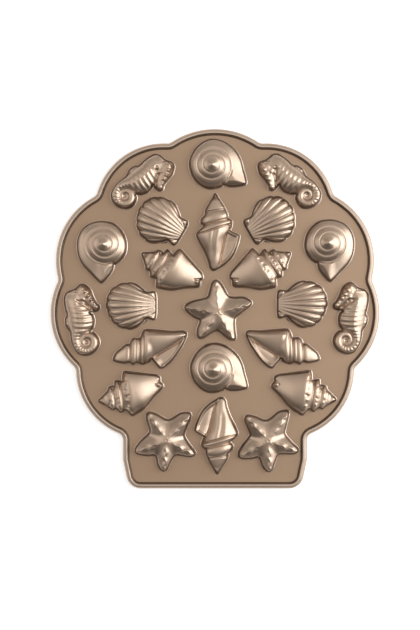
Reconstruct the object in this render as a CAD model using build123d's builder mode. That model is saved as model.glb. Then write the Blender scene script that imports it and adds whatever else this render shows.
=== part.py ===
from build123d import *

import os
from math import cos, radians, sin, sqrt

# Seashell cake pan: a cast aluminium tray with 23 shallow cups in the shapes of shells, stars and seahorses.
# It lies with its cups pointing up and its flat face down on Z = 0. +Y points to the top lobe of its scallop
# outline and -Y to the straight base.

# Tray, millimetres
deck_thickness = 3.0
rim_width = 5.2
rim_height = 6.8
rim_edge_radius = 1.5
wall = 2.4

# Scallop outline: lobe circles (x, y, radius) of the right half, the first one on the centre line
lobes = [(0, 90.2, 69.8), (45.6, 85.4, 61.9), (76.9, 42.8, 64.7), (81.4, -4.0, 64.9), (62.1, -54.0, 61.7)]
lobe_valley_radius = 6.0
base_half_width = 82.0
base_foot_half_width = 76.5
base_top_y = 60.0
base_bend_y = -134.0
base_edge_y = -160.0
base_corner_radius = 13.0

# Section of the long shells: upright sides with draft under a round top that rises with the half width
side_height = 3.0
crown_ratio = 0.62
shoulder_ratio = 0.4
side_draft = 0.95
least_half_width = 0.8
lip_height = 5.5

# Stations (x, centre y, half width) from the shell's tip at -X to its other end
spindle_stations = [
    (-33.8, 0.3, 0.8), (-28.0, 0.3, 4.2), (-18.7, 0.5, 9.4), (-17.0, 0.5, 9.0), (-11.1, 0.4, 12.7),
    (-8.4, 1.0, 13.9), (-4.9, 1.4, 12.8), (-1.3, 0.0, 14.4), (1.3, -2.4, 14.4), (3.6, -3.4, 13.6),
    (9.8, -2.9, 11.6), (17.8, -1.6, 8.3), (26.7, -0.8, 5.5), (32.0, -1.0, 3.9), (34.7, -1.3, 0.8),
]
spindle_lip = [(-0.9, 11.0), (2.7, 20.5), (5.3, 21.8), (13.4, 19.6), (21.4, 16.0), (27.6, 10.7), (32.5, 3.5),
               (30.0, 0.0), (0.0, 0.0)]
murex_stations = [
    (-29.2, 0.0, 0.8), (-24.6, -1.1, 4.2), (-20.5, -2.9, 8.4), (-17.0, -2.4, 9.4), (-14.3, -3.8, 12.4),
    (-11.3, -4.0, 12.0), (-9.4, -2.6, 14.0), (-6.1, -5.7, 16.8), (-3.2, -6.0, 16.2), (-1.2, -3.9, 18.4),
    (1.1, -2.7, 19.3), (8.0, -3.2, 16.9), (14.8, -3.0, 13.2), (27.7, -3.3, 6.3), (29.4, -3.3, 3.4),
]
murex_bead_rows = [(-13.5, -3.8, 12.2, 1.5), (-7.0, -4.6, 16.0, 1.8), (-0.2, -3.4, 18.6, 2.1)]
murex_bead_angles = range(30, 151, 30)
whelk_stations = [
    (-34.9, -1.2, 0.8), (-31.0, -1.0, 4.4), (-25.4, -1.2, 7.0), (-20.0, -2.0, 9.6), (-17.5, -1.9, 9.1),
    (-14.8, -1.4, 10.6), (-11.4, -1.7, 12.4), (-7.8, -1.8, 12.2), (-6.4, -1.8, 11.4), (-3.4, -0.2, 12.8),
    (-0.3, 0.9, 13.6), (2.9, 0.8, 13.3), (12.8, 0.7, 9.2), (22.6, 0.2, 5.5), (34.6, -0.6, 1.2),
]
whelk_lip = [(-1.3, -11.0), (2.4, -22.7), (6.2, -22.6), (13.8, -19.6), (21.2, -14.6), (27.8, -9.3), (34.2, -1.0),
             (20.0, 1.0), (0.0, 1.0)]
seahorse_stations = [
    (-51.0, -5.0, 0.8), (-49.8, -5.0, 3.0), (-46.4, -5.0, 7.2), (-44.0, -6.9, 10.8), (-40.4, -7.6, 12.8),
    (-35.1, -8.4, 12.4), (-28.8, -9.0, 10.9), (-25.5, -8.2, 10.8), (-18.2, -6.8, 13.0), (-12.8, -6.5, 11.9),
    (-8.8, -6.5, 9.6), (-5.0, -7.9, 7.3), (-1.2, -9.0, 5.8), (4.0, -7.9, 4.4),
]
snout_stations = [(-3.0, 0.0, 7.5), (7.0, 0.0, 4.6), (11.0, 0.0, 3.4), (13.2, 0.0, 1.6)]
snout_root = (-36.6, -1.4)
snout_turn = 58

# Round forms, (radius, height) from the foot to the middle
snail_whorls = [(21.0, 5.0), (18.6, 8.6), (17.8, 8.0), (14.0, 12.2), (12.9, 11.5), (9.0, 15.0), (8.0, 14.4), (2.4, 16.8)]
snail_body = (-1.2, -0.8, 21.8)
snail_tip = (-1.6, -31.4, 3.0)
snail_skirt_height = 6.0
coil_centre = (0.9, 0.2)
coil_whorls = [(11.0, 3.6), (9.6, 6.8), (6.8, 7.8), (4.0, 6.8), (3.2, 7.4), (1.4, 8.0)]

scallop_radius = 20.0
scallop_height = 11.0
rib_pole_x = 33.0
rib_angles = range(-32, 33, 8)
rib_radius = 4.0
rib_depth = 2.4
hinge_outline = [(8.0, -13.5), (13.7, -11.1), (21.2, -11.6), (22.4, 0.0), (21.2, 12.0), (13.7, 12.0), (8.0, 13.5)]
hinge_height = 6.5

star_core_radius = 15.0
star_tip_radius = 3.0
star_skirt_height = 4.0
star_arms = [(93, 29.6), (16, 31.2), (-59, 28.4), (-126, 27.6), (170, 30.2)]
star_centre_height = 12.5
star_tip_height = 6.5


def tray_outline(inset):
    with BuildSketch() as base:
        with BuildLine():
            Polyline((-base_half_width, base_top_y), (-base_half_width, base_bend_y),
                     (-base_foot_half_width, base_edge_y), (base_foot_half_width, base_edge_y),
                     (base_half_width, base_bend_y), (base_half_width, base_top_y), close=True)
        make_face()
        if inset:
            offset(amount=-inset, kind=Kind.INTERSECTION)
    with BuildSketch() as outline:
        add(base.sketch)
        for x, y, radius in lobes:
            with Locations((x, y), (-x, y)):
                Circle(radius - inset)
        fillet(outline.vertices().group_by(Axis.Y)[0], base_corner_radius - inset)
        valleys = outline.vertices().filter_by(lambda vertex: vertex.Y > base_bend_y + lobe_valley_radius)
        fillet(valleys, lobe_valley_radius + inset)
    return outline.sketch


def seat():
    """The deck face that the cups stand on."""
    return Plane.XY.offset(deck_thickness)


def keep_above_seat(form):
    with BuildPart() as kept:
        add(form)
        split(bisect_by=seat(), keep=Keep.TOP)
    return kept.part


def placed(form, spot, turn, mirrored=False):
    """The form mirrored left to right where asked, turned by degrees about Z and moved to a spot (x, y)."""
    with BuildPart() as moved:
        with Locations(Location((*spot, 0), (0, 0, turn))):
            add(mirror(form, about=Plane.YZ, mode=Mode.PRIVATE) if mirrored else form)
    return moved.part


def crown(half_width):
    return side_height + crown_ratio * half_width


def ridge(stations, inset):
    """A long shell along X, lofted through upright sections; an inset one is also drawn in at both ends."""
    start, end = stations[0][0], stations[-1][0]
    middle = (start + end) / 2
    draw_in = 1 - 4 * inset / (end - start)
    with BuildPart() as shell:
        for x, centre, half_width in stations:
            foot = max(half_width - inset, least_half_width)
            top = crown(half_width) - inset
            shoulder = (foot * side_draft, top * shoulder_ratio)
            origin = (middle + (x - middle) * draw_in, centre, deck_thickness)
            with BuildSketch(Plane(origin, x_dir=(0, 1, 0), z_dir=(1, 0, 0))):
                with BuildLine():
                    Line((-foot, 0), (-shoulder[0], shoulder[1]))
                    ThreePointArc((-shoulder[0], shoulder[1]), (0, top), shoulder)
                    Line(shoulder, (foot, 0))
                    Line((foot, 0), (-foot, 0))
                make_face()
        loft(ruled=True)
    return shell.part


def plate(outline, height, inset):
    """A low flat-topped form over an outline, such as the flared lip of a shell."""
    with BuildPart() as lip:
        with BuildSketch(seat()):
            with BuildLine():
                Polyline(*outline, close=True)
            make_face()
            if inset:
                offset(amount=-inset)
        extrude(amount=height - inset)
    return lip.part


def turban(whorls, inset):
    """A round stepped form about Z from (radius, height) steps, its foot below the deck face."""
    steps = [(whorls[0][0], -2 * wall)] + whorls
    with BuildPart() as round_form:
        with BuildSketch(Plane.XZ) as side:
            with BuildLine():
                Polyline(*[(-r, z) for r, z in steps], *[(r, z) for r, z in reversed(steps)], close=True)
            make_face()
            if inset:
                offset(amount=-inset)
            split(bisect_by=Plane.YZ, keep=Keep.TOP)
        revolve(axis=Axis.Z)
    return round_form.part


def spindle(inset):
    with BuildPart() as form:
        add(ridge(spindle_stations, inset))
        add(plate(spindle_lip, lip_height, inset))
    return form.part


def murex(inset):
    """A shell with rows of beads on its whorls, which its hollow leaves out."""
    with BuildPart() as form:
        add(ridge(murex_stations, inset))
        for x, centre, half_width, bead_radius in [] if inset else murex_bead_rows:
            for angle in murex_bead_angles:
                y = centre + half_width * side_draft * cos(radians(angle))
                z = deck_thickness + side_height + (crown(half_width) - side_height) * sin(radians(angle))
                with Locations((x, y, z)):
                    Sphere(bead_radius)
    return form.part


def whelk(inset):
    with BuildPart() as form:
        add(ridge(whelk_stations, inset))
        add(plate(whelk_lip, lip_height, inset))
    return form.part


def snail(inset):
    """Stepped turban of whorls over a drop-shaped skirt that runs out to the shell's mouth."""
    with BuildPart() as skirt:
        with BuildSketch(seat()):
            for x, y, radius in (snail_body, snail_tip):
                with Locations((x, y)):
                    Circle(radius - inset)
            make_hull()
        extrude(amount=snail_skirt_height - inset)
    whorls = turban(snail_whorls, inset)
    with BuildPart() as form:
        add(skirt.part)
        with Locations((0, 0, deck_thickness)):
            add(whorls)
    return keep_above_seat(form.part)


def seahorse(inset):
    """Body from the crown at -X to the tail, with its snout to one side and a coiled tail end."""
    body = ridge(seahorse_stations, inset)
    snout = placed(ridge(snout_stations, inset), snout_root, snout_turn)
    coil = turban(coil_whorls, inset)
    with BuildPart() as form:
        add(body)
        add(snout)
        with Locations((*coil_centre, deck_thickness)):
            add(coil)
    return keep_above_seat(form.part)


def scallop(inset):
    """Spherical cap with ribs that fan out from a pole behind the straight hinge."""
    cap_radius = (scallop_radius**2 + scallop_height**2) / (2 * scallop_height)
    cap_centre_z = deck_thickness + scallop_height - cap_radius
    rib_path_radius = cap_radius - rib_depth
    hinge = plate(hinge_outline, hinge_height, inset)
    with BuildPart() as fan:
        with Locations((0, 0, cap_centre_z)):
            Sphere(cap_radius - inset)
        for angle in rib_angles:
            along = Vector(-cos(radians(angle)), sin(radians(angle)), 0)
            foot = Vector(rib_pole_x, 0, 0) + along * (rib_pole_x * cos(radians(angle)))
            ring_radius = sqrt(rib_path_radius**2 - foot.length**2)
            across = along.cross(Vector(0, 0, 1))
            with Locations(Plane(foot + Vector(0, 0, cap_centre_z), x_dir=along, z_dir=across)):
                Torus(ring_radius, rib_radius - inset)
        split(bisect_by=seat(), keep=Keep.TOP)
        add(hinge)
    return fan.part


def star(inset):
    """Five tapering arms with a roof-like ridge over a low rounded skirt."""
    with BuildPart() as form:
        for angle, length in star_arms:
            along = Vector(cos(radians(angle)), sin(radians(angle)), 0)
            across = Vector(0, 0, 1).cross(along)
            tip = seat().origin + along * (length - star_tip_radius)
            with BuildSketch(seat()):
                Circle(star_core_radius - inset)
                with Locations((tip.X, tip.Y)):
                    Circle(star_tip_radius - inset)
                make_hull()
            extrude(amount=star_skirt_height - inset)
            for foot, half_width, height in (
                (seat().origin, star_core_radius, star_centre_height),
                (tip, star_tip_radius, star_tip_height),
            ):
                with BuildSketch(Plane(foot, x_dir=across, z_dir=along)):
                    with BuildLine():
                        Polyline((inset - half_width, 0), (0, height - inset), (half_width - inset, 0), close=True)
                    make_face()
            loft(ruled=True)
    return form.part


def cast_cup(form):
    """The walls of one cup, and the mouth that its hollow has in the deck."""
    hollow = form(wall)
    with BuildPart() as cup:
        add(form(0))
        add(hollow, mode=Mode.SUBTRACT)
    with BuildPart() as mouth:
        extrude(hollow.faces().filter_by(Axis.Z).group_by(Axis.Z)[0], amount=2 * deck_thickness, both=True)
    return cup.part, mouth.part


# Name, form, place on the deck (x, y), turn in degrees, and whether the form is mirrored left to right
cups = [
    ("snail_cup_top", snail, (-2.4, 127.6), 58, True),
    ("snail_cup_centre", snail, (-1.4, -53.3), 58, True),
    ("snail_cup_left", snail, (-99.2, 57.2), 0, False),
    ("snail_cup_right", snail, (100.3, 58.5), 0, True),
    ("seahorse_cup_top_left", seahorse, (-79.0, 99.7), -151, False),
    ("seahorse_cup_top_right", seahorse, (80.8, 100.0), 151, True),
    ("seahorse_cup_left", seahorse, (-113.2, -28.9), -90, False),
    ("seahorse_cup_right", seahorse, (115.4, -27.4), 90, True),
    ("scallop_cup_left", scallop, (-74.3, 2.4), 0, False),
    ("scallop_cup_right", scallop, (77.3, 3.8), 0, True),
    ("scallop_cup_upper_left", scallop, (-48.3, 76.9), -30, False),
    ("scallop_cup_upper_right", scallop, (49.6, 77.7), 30, True),
    ("spindle_cup_top", spindle, (0.1, 68.5), -90, False),
    ("spindle_cup_bottom", spindle, (3.4, -113.0), 88, False),
    ("murex_cup_upper_left", murex, (-38.1, 38.1), -22, False),
    ("murex_cup_upper_right", murex, (40.2, 38.5), 22, True),
    ("murex_cup_lower_left", murex, (-76.1, -71.7), 21, False),
    ("murex_cup_lower_right", murex, (80.1, -71.1), -20, True),
    ("whelk_cup_left", whelk, (-57.8, -32.4), 19, False),
    ("whelk_cup_right", whelk, (60.2, -32.0), -19, True),
    ("star_cup_centre", star, (2.6, -3.8), 0, False),
    ("star_cup_left", star, (-42.7, -116.3), 31, False),
    ("star_cup_right", star, (47.2, -116.7), 39, False),
]

os.makedirs("parts", exist_ok=True)

castings = {form: cast_cup(form) for form in dict.fromkeys(form for _, form, *_ in cups)}

with BuildPart() as rim:
    with BuildSketch():
        add(tray_outline(0))
    extrude(amount=rim_height)
    with BuildSketch():
        add(tray_outline(rim_width))
    extrude(amount=rim_height, mode=Mode.SUBTRACT)
    fillet(rim.edges().group_by(Axis.Z)[-1], rim_edge_radius)
rim.part.label = "rim"
export_step(rim.part, "parts/rim.step")

with BuildPart() as deck:
    with BuildSketch():
        add(tray_outline(rim_width))
    extrude(amount=deck_thickness)
    for _, form, spot, turn, mirrored in cups:
        add(placed(castings[form][1], spot, turn, mirrored), mode=Mode.SUBTRACT)
deck.part.label = "deck"
export_step(deck.part, "parts/deck.step")

for name, form, spot, turn, mirrored in cups:
    cup = placed(castings[form][0], spot, turn, mirrored)
    cup.label = name
    export_step(cup, f"parts/{name}.step")
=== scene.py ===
"""Dresses a cast seashell cake pan: its scallop-shaped tray, raised rim and 23 shell, starfish and seahorse cups.

Every cup is a thin cast shell built from its outline and a height over the deck, with a small foot where it meets
the deck. Sizes inside the forms are millimetres, and the finished pieces are metres.
"""

from math import atan2, cos, hypot, pi, radians, sin, sqrt

import bpy
import bmesh
import numpy as np
from bpy.props import FloatProperty, FloatVectorProperty, PointerProperty
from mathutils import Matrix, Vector
from mathutils.geometry import delaunay_2d_cdt


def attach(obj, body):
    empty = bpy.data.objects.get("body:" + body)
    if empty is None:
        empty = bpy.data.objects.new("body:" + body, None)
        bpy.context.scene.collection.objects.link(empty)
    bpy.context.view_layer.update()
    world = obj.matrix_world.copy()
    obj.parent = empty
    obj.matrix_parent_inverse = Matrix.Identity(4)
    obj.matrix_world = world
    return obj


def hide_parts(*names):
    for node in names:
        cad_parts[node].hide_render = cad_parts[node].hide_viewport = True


bl_info = {
    "name": "Seashell Cake Pan",
    "version": (1, 0, 0),
    "blender": (4, 5, 0),
    "location": "3D View > Sidebar > Cake Pan",
    "description": "Builds the cups, deck and rim of a cast seashell cake pan and a plain studio for it",
    "category": "Object",
}

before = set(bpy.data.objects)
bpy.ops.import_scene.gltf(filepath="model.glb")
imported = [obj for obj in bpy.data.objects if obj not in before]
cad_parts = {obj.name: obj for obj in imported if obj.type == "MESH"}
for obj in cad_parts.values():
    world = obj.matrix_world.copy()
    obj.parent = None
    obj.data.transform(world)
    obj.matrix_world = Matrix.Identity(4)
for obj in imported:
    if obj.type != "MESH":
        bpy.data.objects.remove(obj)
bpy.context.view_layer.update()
MM = 0.001

# ---- outlines of the cups, in millimetres

SNAIL_OUTLINE = [
    (-23.3, -2.3), (-22.5, 5.7), (-19.1, 12.8), (-13.8, 17.3), (-6.7, 20.1), (0.4, 20.6), (8.5, 19.0), (14.7, 14.2),
    (19.1, 7.5), (20.9, -0.5), (20.0, -7.7), (16.5, -13.4), (11.6, -17.4), (9.8, -17.9), (8.5, -22.8), (4.5, -29.0),
    (-1.3, -34.4), (-5.8, -31.7), (-11.1, -25.9), (-17.4, -19.2), (-21.8, -11.2),
]
SCALLOP_OUTLINE = [
    (21.2, 12.0), (22.4, 0.4), (21.2, -11.6), (13.7, -11.1), (10.1, -14.2), (4.8, -18.7), (-1.5, -20.5), (-8.6, -19.1),
    (-12.1, -17.4), (-16.6, -13.4), (-20.2, -7.1), (-22.2, 0.0), (-21.5, 7.1), (-18.4, 13.8), (-13.0, 18.2),
    (-6.8, 20.5), (-0.6, 20.9), (4.8, 19.1), (10.1, 15.1), (13.7, 12.6),
]
SPINDLE_OUTLINE = [
    (-33.8, 0.3), (-28.0, 4.5), (-22.3, 8.0), (-18.7, 9.8), (-15.6, 11.1), (-12.5, 11.6), (-9.3, 15.1), (-4.5, 14.7),
    (-0.9, 13.8), (2.7, 20.5), (5.3, 21.8), (13.4, 19.6), (21.4, 16.0), (27.6, 10.7), (32.0, 4.5), (34.7, -1.3),
    (32.0, -4.9), (26.7, -6.2), (17.8, -9.8), (9.8, -14.2), (3.6, -16.9), (1.3, -16.5), (-1.3, -14.2), (-4.9, -10.7),
    (-7.6, -12.9), (-11.1, -12.5), (-14.7, -9.3), (-18.7, -8.9), (-24.0, -6.2), (-29.8, -2.7),
]
MUREX_OUTLINE = [
    (-29.2, 0.0), (-24.6, 3.1), (-19.0, 5.9), (-16.7, 8.5), (-13.4, 8.7), (-11.3, 8.1), (-9.4, 11.8), (-6.8, 11.4),
    (-3.2, 9.5), (-1.7, 13.0), (1.1, 16.6), (7.5, 13.9), (14.8, 10.2), (22.1, 6.4), (27.1, 3.7), (29.5, 0.3),
    (28.4, -3.0), (29.5, -6.9), (27.7, -9.6), (18.1, -14.2), (8.0, -20.1), (-1.6, -22.5), (-6.1, -22.5), (-8.5, -16.7),
    (-10.1, -15.9), (-14.3, -16.2), (-16.7, -11.9), (-20.5, -11.5), (-23.2, -7.4),
]
WHELK_OUTLINE = [
    (-34.9, -0.4), (-30.9, 3.5), (-25.4, 5.8), (-20.0, 7.7), (-16.9, 7.1), (-14.8, 9.2), (-11.4, 10.8), (-6.4, 9.1),
    (-3.4, 12.3), (-0.3, 14.5), (2.9, 14.1), (12.8, 10.0), (22.6, 5.6), (29.4, 3.5), (32.7, 2.2), (34.6, -0.4),
    (33.0, -3.6), (27.8, -9.3), (21.2, -14.6), (13.8, -19.6), (6.2, -22.6), (2.4, -22.7), (0.5, -20.1), (-2.5, -12.5),
    (-4.9, -14.0), (-11.6, -14.1), (-15.3, -11.4), (-20.1, -11.6), (-21.9, -8.6), (-26.4, -8.0), (-31.2, -5.4),
    (-34.5, -2.8),
]
STAR_OUTLINE = [
    (-2.6, 29.4), (0.5, 28.8), (4.5, 24.1), (9.0, 16.1), (13.4, 14.3), (22.3, 14.3), (27.7, 12.1), (30.3, 9.4),
    (28.6, 5.9), (22.3, 1.0), (16.6, -3.5), (15.2, -7.0), (15.5, -15.0), (16.1, -22.2), (13.4, -24.5), (9.0, -23.1),
    (3.6, -18.6), (-0.8, -15.9), (-6.1, -18.2), (-12.4, -22.2), (-16.4, -22.6), (-18.6, -19.5), (-18.6, -14.2),
    (-16.4, -6.6), (-21.3, -3.9), (-27.5, 1.0), (-29.8, 5.0), (-27.5, 8.5), (-21.3, 11.2), (-13.3, 13.0),
    (-9.3, 14.8), (-7.5, 20.6), (-5.7, 26.8),
]
SEAHORSE_OUTLINE = [
    (-51.1, -5.3), (-50.2, -1.7), (-45.8, 2.8), (-39.5, 5.4), (-34.2, 8.1), (-31.5, 10.8), (-27.9, 10.3), (-26.2, 6.3),
    (-25.7, 2.8), (-23.5, 5.0), (-18.2, 6.3), (-12.8, 5.4), (-8.8, 3.2), (-7.5, 6.3), (-3.0, 9.9), (2.3, 10.8),
    (7.7, 8.1), (11.7, 2.8), (12.6, -3.5), (10.3, -8.8), (5.0, -12.4), (-1.2, -14.6), (-7.5, -15.5), (-10.1, -16.8),
    (-14.6, -19.5), (-19.9, -19.9), (-23.1, -18.6), (-28.8, -19.9), (-35.1, -20.8), (-40.4, -20.4), (-44.0, -17.7),
    (-46.6, -11.5), (-49.8, -7.9),
]

# ---- shape helpers


def closed_curve(points, spacing=0.5):
    """Smooth closed line through outline points."""
    knots = np.array(points, float)
    runs = []
    for i in range(len(knots)):
        a, b, c, d = knots[i - 1], knots[i], knots[(i + 1) % len(knots)], knots[(i + 2) % len(knots)]
        count = max(2, int(np.ceil(np.hypot(*(c - b)) / spacing)))
        t = np.arange(count)[:, None] / count
        run = 2 * b + (c - a) * t + (2 * a - 5 * b + 4 * c - d) * t**2 + (3 * b - 3 * c + d - a) * t**3
        runs.append(run / 2)
    return np.concatenate(runs)


def near_line(x, y, points):
    """Distance to a line through points."""
    line = np.array(points, float)
    nearest = np.full(x.shape, 1e9)
    for a, b in zip(line[:-1], line[1:]):
        run = b - a
        t = ((x - a[0]) * run[0] + (y - a[1]) * run[1]) / (run[0] ** 2 + run[1] ** 2 + 1e-12)
        t = np.clip(t, 0, 1)
        nearest = np.minimum(nearest, (x - a[0] - t * run[0]) ** 2 + (y - a[1] - t * run[1]) ** 2)
    return np.sqrt(nearest)


def depth_inside(x, y, outline):
    """Distance to a closed line, positive inside it and negative outside."""
    inside = np.zeros(x.shape, bool)
    for (ax, ay), (bx, by) in zip(outline, np.roll(outline, -1, 0)):
        if by != ay:
            inside ^= ((ay > y) != (by > y)) & (x < (bx - ax) * (y - ay) / (by - ay) + ax)
    return np.where(inside, 1, -1) * near_line(x, y, np.vstack([outline, outline[:1]]))


def graph(x, table, column=1):
    """Smooth value at x in a table of (position, value, ...)."""
    rows = np.array(table, float)
    at, value = rows[:, 0], rows[:, column]
    slope = np.gradient(value, at)
    i = np.clip(np.searchsorted(at, x) - 1, 0, len(at) - 2)
    gap = at[i + 1] - at[i]
    t = np.clip((x - at[i]) / gap, 0, 1)
    rise = (value[i + 1] - value[i]) / gap
    start = np.clip(slope[i], -3 * abs(rise), 3 * abs(rise))
    end = np.clip(slope[i + 1], -3 * abs(rise), 3 * abs(rise))
    return (
        (2 * t**3 - 3 * t**2 + 1) * value[i]
        + (t**3 - 2 * t**2 + t) * gap * start
        + (3 * t**2 - 2 * t**3) * value[i + 1]
        + (t**3 - t**2) * gap * end
    )


def soft_max(a, b, blend):
    """The greater of two heights, with a blended crossing."""
    share = np.clip(0.5 + 0.5 * (a - b) / blend, 0, 1)
    return b + (a - b) * share + blend * share * (1 - share)


def ramp(x, start, end):
    """0 up to start, 1 from end, and smooth between them."""
    t = np.clip((x - start) / (end - start), 0, 1)
    return t * t * (3 - 2 * t)


def arch(u):
    """Half circle over -1 to 1."""
    return np.sqrt(np.clip(1 - u * u, 0, 1))


def shoulder(depth, width):
    """Rounded edge that rises from an upright wall to full height over a width."""
    return np.sqrt(np.clip(1 - (1 - np.clip(depth / width, 0, 1)) ** 2, 0, 1))


def groove(distance, width):
    """1 on a line and fading to 0 on both sides of it."""
    return np.exp(-((distance / width) ** 2))


def knob(x, y, at, radius, height):
    return height * groove(np.hypot(x - at[0], y - at[1]), radius)


def limb(x, y, spine, ratio):
    """A rounded limb over a spine of (x, y, radius, foot height)."""
    rows = np.array(spine, float)
    nearest = np.zeros(x.shape)
    for a, b in zip(rows[:-1], rows[1:]):
        balls = max(2, int(np.hypot(*(b - a)[:2]) / 0.8))
        for t in np.linspace(0, 1, balls):
            px, py, radius, foot = a + (b - a) * t
            inside = radius**2 - (x - px) ** 2 - (y - py) ** 2
            nearest = np.maximum(nearest, np.where(inside > 0, foot + ratio * np.sqrt(np.clip(inside, 0, None)), 0))
    return nearest


def walled(height, depth, width):
    """Height of a form with its edge rounded down to half of it at the outline, where the upright wall is."""
    return height * (0.50 + 0.50 * shoulder(depth, 1.4 * width))


def turned(along, y, stations, foot, ratio):
    """Height of a shell turned about its own axis, from stations of (along, centre, half width)."""
    half_width = graph(along, stations, 2)
    across = (y - graph(along, stations)) / np.maximum(half_width, 0.3)
    return foot * np.clip(half_width / 6.0, 0.6, 1) + ratio * half_width * arch(across)


def keeled(y, keel, left, right, top, foot, power):
    """Height of a body that falls both ways from its keel to its sides, and the distance to the left of its keel."""
    off = y - keel
    share = np.where(off > 0, off / np.maximum(left - keel, 0.3), -off / np.maximum(keel - right, 0.3))
    return foot + (top - foot) * (1 - np.clip(share, 0, 1) ** power), off


# ---- heights of the cups over the deck


def snail_height(x, y, depth):
    """Turban shell seen from its apex, whose last whorl runs out to a pointed lip at -Y."""
    r = np.hypot(x, y)
    around = np.degrees(np.arctan2(y, x)) % 360
    pitch = 5.2
    growth = graph(around, [(0, 0), (90, 0.7), (180, 1.7), (230, 2.6), (270, 3.7), (300, 4.4), (360, pitch)])
    part = (r - 7.9 - growth) / pitch % 1
    edge = closed_curve(SNAIL_OUTLINE, 2.0)
    edge = edge[(edge[:, 1] > -18) | (edge[:, 0] < -1.2)]
    open_edge = near_line(x, y, np.roll(edge, -edge[:, 1].argmin(), 0))
    coil, coil_top = 16, 8.2
    outside = np.clip((r - coil) / (np.clip(r - coil, 0, None) + open_edge + 1e-6), 0, 1)
    cone = graph(r, [(0, 15.3), (3, 14.4), (8, 12.2), (12, 10.2), (coil, coil_top), (20, 6.6), (40, 4.8)])
    height = np.where(r < coil, cone, coil_top - 3.0 * outside**1.25)
    whorled = ramp(r, 5.0, 7.5) * (1 - ramp(r, coil, 18.5))
    height += 0.32 * whorled * np.sin(pi * part**0.8)
    height -= 0.5 * whorled * groove(np.minimum(part, 1 - part) * pitch, 0.42)
    height += knob(x, y, (0.7, -0.4), 3.4, 1.4)
    suture = near_line(x, y, [(-4.5, -17.6), (-2.0, -18.2), (1.5, -18.5), (6.5, -18.2), (10.4, -16.8)])
    height -= 0.9 * groove(suture, 0.65) * ramp(x, -6.0, -1.0)
    from_lip = (9.6 - x) * 0.832 + (y + 18.0) * 0.553
    bevel = 5.8 + 0.62 * np.clip(from_lip, 0, None)
    below = 1 - ramp(y, -18.6, -17.2)
    height = height * (1 - below) - soft_max(-bevel, -height - 0.7 * ramp(x, -7.0, 0.0), 0.35) * below
    return walled(height, depth, 1.8)


RIB_POLE = 34.0  # place on the scallop's axis where its ribs would meet
RIB_STEP = 8.0  # degrees from rib to rib


def rib_place(x, y):
    """Place across a scallop's ribs, -0.5 to 0.5 from groove to groove, and the distance to the ribs' pole."""
    r = np.hypot(RIB_POLE - x, y)
    spread = 1 + 0.12 * np.clip((22 - r) / 22, 0, 1)  # the ribs fan out faster near their pole
    angle = np.degrees(np.arctan2(y - 0.6, RIB_POLE - x)) * spread
    return (angle / RIB_STEP + 0.5) % 1 - 0.5, r


def lobed(points):
    """The scallop's outline with its edge pushed out at each rib and drawn in at each groove."""
    line = closed_curve(points)
    place, _ = rib_place(line[:, 0], line[:, 1])
    out = line / np.hypot(line[:, 0], line[:, 1])[:, None]
    push = (0.95 * np.sqrt(np.clip(1 - 4 * place**2, 0, 1)) - 0.7) * ramp(13.0 - line[:, 0], 0, 3)
    return line + out * push[:, None]


def scallop_height(x, y, depth):
    """Ribbed fan with a small flat ear on each side of its hinge at +X."""
    place, r = rib_place(x, y)
    swell = graph(r, [(10, 0.2), (16, 0.45), (24, 1.0), (40, 1.75), (50, 2.4), (58, 2.8)])
    wave = swell * (np.sqrt(np.clip(1 - 3.6 * place**2, 0, 1)) - 0.5)
    domed = [
        (-24, 5.6), (-20, 7.4), (-15, 9.2), (-9, 10.5), (-3, 10.8),
        (3, 10.0), (9, 8.4), (14, 6.9), (18, 5.9), (24, 4.6),
    ]
    dome = graph(x, domed)
    fan = dome - 0.0125 * y * y * np.clip(1.1 - (x + 6) / 60, 0.6, 1.4) + wave
    neck = 3.8 + 0.95 * np.clip(22.5 - x, 0, None)
    fan -= 1.3 * np.clip(abs(y) - neck, 0, 3) * ramp(x, 11, 14)
    ears = 5.3 - 0.55 * np.clip(x - 18.6, 0, 4) + knob(x, abs(y), (17.0, 9.2), 1.9, 0.8)
    ears -= 0.7 * groove(abs(y) - neck - 0.6, 0.8)
    height = np.where(x > 10, soft_max(fan, ears, 0.4), soft_max(fan, 4.4 + 0 * x, 0.8))
    return walled(height, depth, 1.4 + 2.4 * ramp(14.0 - x, 0, 6))


# Along the shell's axis, centre and half width, for the spindle, murex and whelk alike
SPINDLE_STATIONS = [
    (-34.5, 0.3, 0.6), (-31, 0.3, 3.4), (-26, 0.4, 6.8), (-21.5, 0.6, 9.2), (-19.4, 0.6, 9.8), (-18.3, 0.6, 8.6),
    (-17.2, 0.6, 10.2), (-14.6, 0.7, 12.6), (-12.0, 0.8, 13.4), (-10.0, 0.9, 13.0), (-8.9, 0.9, 12.0),
    (-8.3, 0.8, 10.6), (-7.5, 0.5, 12.6), (-5.8, -0.1, 15.4), (-4.2, -0.4, 16.0), (-3.0, -0.6, 15.2),
    (-2.3, -0.8, 13.4), (-1.2, -1.4, 14.6), (2.5, -3.0, 14.4), (6.5, -3.7, 13.0), (12.0, -3.0, 10.6), (20, -2.0, 8.0),
    (35.5, -1.3, 2.0),
]


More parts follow.
